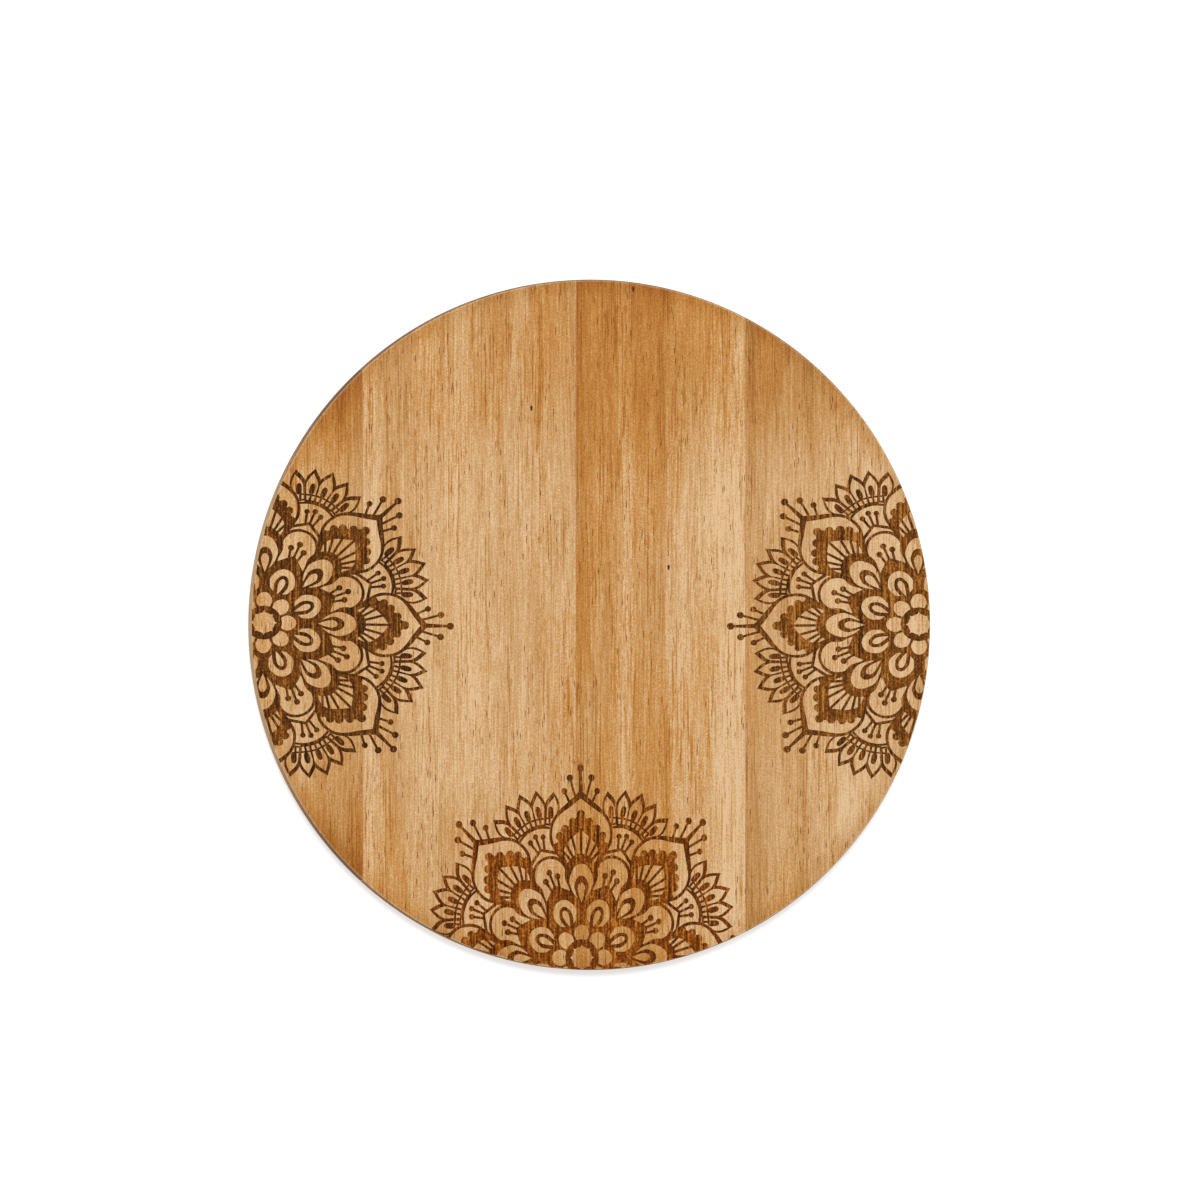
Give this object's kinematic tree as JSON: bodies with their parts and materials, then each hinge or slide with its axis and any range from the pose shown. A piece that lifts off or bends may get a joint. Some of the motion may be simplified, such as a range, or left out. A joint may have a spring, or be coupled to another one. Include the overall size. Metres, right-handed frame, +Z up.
{
  "type": "round cutting board",
  "caption": "Flat round wooden cutting board, edge-glued from solid staves, with softly rounded rim edges and mandala ornaments burnt into its upper face.",
  "frame": {"origin": "centre of the underside, on the surface that the board lies on", "axes": "+Z up through the cutting face, +Y along the grain towards the plain end of the board, +X across the staves to the right"},
  "size_m": [0.3, 0.3, 0.009],
  "materials": {
    "wood_left_edge": "oiled, satin",
    "wood_left_middle": "oiled, satin",
    "wood_right_middle": "oiled, satin",
    "wood_right_edge": "oiled, satin",
    "dried_glue": "satin"
  },
  "bodies": {
    "root": {"stave_left_edge": "wood_left_edge", "stave_left_middle": "wood_left_middle", "stave_right_middle": "wood_right_middle", "stave_right_edge": "wood_right_edge", "glue_line_left": "dried_glue", "glue_line_middle": "dried_glue", "glue_line_right": "dried_glue"}
  },
  "joints": []
}
